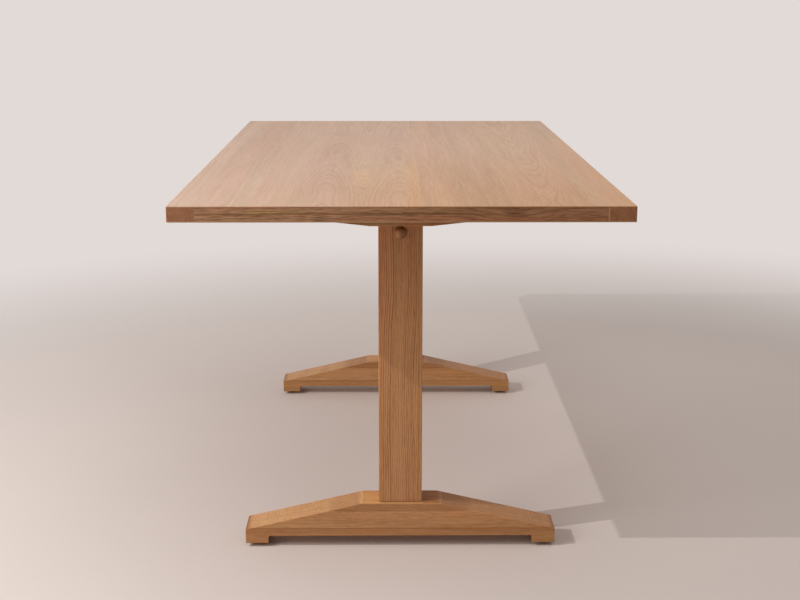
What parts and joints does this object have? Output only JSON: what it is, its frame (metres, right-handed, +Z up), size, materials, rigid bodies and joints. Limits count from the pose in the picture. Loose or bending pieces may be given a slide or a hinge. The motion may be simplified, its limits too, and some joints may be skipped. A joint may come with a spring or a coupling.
{
  "type": "trestle dining table",
  "caption": "Rectangular oak dining table on T-shaped trestles with sloped feet, tapered bearers, a high stretcher rail and screw-adjustable levelling glides.",
  "frame": {"origin": "on the floor, under the middle of the top, with the glides screwed right in", "axes": "+Z up, +Y along the table towards its back end, +X across it to the right seen from the front end"},
  "size_m": [0.81, 1.5, 0.712],
  "materials": {
    "oak_face": "matt oiled",
    "oak_lipping": "matt oiled",
    "oak_backing": "matt oiled",
    "core_panel": "raw",
    "oak_frame": "matt oiled",
    "oak_cap": "matt oiled",
    "beech_dowel": "raw",
    "glide_plastic": "matt",
    "zinc_steel": "zinc plated"
  },
  "bodies": {
    "table": {"back_bearer": "oak_frame", "back_bolt_cap": "oak_cap", "back_foot_lower_board": "oak_frame", "back_foot_upper_block": "oak_frame", "back_post": "oak_frame", "bearer_screw_washers": "zinc_steel", "bearer_screws": "zinc_steel", "front_bearer": "oak_frame", "front_bolt_cap": "oak_cap", "front_foot_lower_board": "oak_frame", "front_foot_upper_block": "oak_frame", "front_post": "oak_frame", "glide_inserts": "zinc_steel", "rail_barrel_nuts": "zinc_steel", "rail_bolt_washers": "zinc_steel", "rail_bolts": "zinc_steel", "rail_dowels": "beech_dowel", "stretcher_rail": "oak_frame", "top_backing_veneer": "oak_backing", "top_core_panel": "core_panel", "top_end_lipping_back": "oak_lipping", "top_end_lipping_front": "oak_lipping", "top_face_leaf_1": "oak_face", "top_face_leaf_2": "oak_face", "top_face_leaf_3": "oak_face", "top_face_leaf_4": "oak_face", "top_face_leaf_5": "oak_face", "top_inserts": "zinc_steel", "top_long_lipping_left": "oak_lipping", "top_long_lipping_right": "oak_lipping"},
    "glide_base_front_left": {"glide_base_front_left": "glide_plastic"},
    "glide_stud_front_left": {"glide_stud_front_left": "zinc_steel"},
    "glide_base_front_right": {"glide_base_front_right": "glide_plastic"},
    "glide_stud_front_right": {"glide_stud_front_right": "zinc_steel"},
    "glide_base_back_left": {"glide_base_back_left": "glide_plastic"},
    "glide_stud_back_left": {"glide_stud_back_left": "zinc_steel"},
    "glide_base_back_right": {"glide_base_back_right": "glide_plastic"},
    "glide_stud_back_right": {"glide_stud_back_right": "zinc_steel"}
  },
  "joints": [
    {"name": "glide_front_left_lift", "type": "slide", "parent": "table", "child": "glide_base_front_left", "axis": [0, 0, -1], "range_m": [0, 0.01]},
    {"name": "glide_front_left_turn", "type": "hinge", "parent": "glide_base_front_left", "child": "glide_stud_front_left", "pos_m": [-0.2825, -0.513, 0.012], "axis": [0, 0, -1], "range_deg": [0, 2880]},
    {"name": "glide_front_right_lift", "type": "slide", "parent": "table", "child": "glide_base_front_right", "axis": [0, 0, -1], "range_m": [0, 0.01]},
    {"name": "glide_front_right_turn", "type": "hinge", "parent": "glide_base_front_right", "child": "glide_stud_front_right", "pos_m": [0.2825, -0.513, 0.012], "axis": [0, 0, -1], "range_deg": [0, 2880]},
    {"name": "glide_back_left_lift", "type": "slide", "parent": "table", "child": "glide_base_back_left", "axis": [0, 0, -1], "range_m": [0, 0.01]},
    {"name": "glide_back_left_turn", "type": "hinge", "parent": "glide_base_back_left", "child": "glide_stud_back_left", "pos_m": [-0.2825, 0.513, 0.012], "axis": [0, 0, -1], "range_deg": [0, 2880]},
    {"name": "glide_back_right_lift", "type": "slide", "parent": "table", "child": "glide_base_back_right", "axis": [0, 0, -1], "range_m": [0, 0.01]},
    {"name": "glide_back_right_turn", "type": "hinge", "parent": "glide_base_back_right", "child": "glide_stud_back_right", "pos_m": [0.2825, 0.513, 0.012], "axis": [0, 0, -1], "range_deg": [0, 2880]}
  ],
  "couplings": [
    {"joint": "glide_front_left_turn", "follows": "glide_front_left_lift", "rad_per_m": 5026.5},
    {"joint": "glide_front_right_turn", "follows": "glide_front_right_lift", "rad_per_m": 5026.5},
    {"joint": "glide_back_left_turn", "follows": "glide_back_left_lift", "rad_per_m": 5026.5},
    {"joint": "glide_back_right_turn", "follows": "glide_back_right_lift", "rad_per_m": 5026.5}
  ]
}
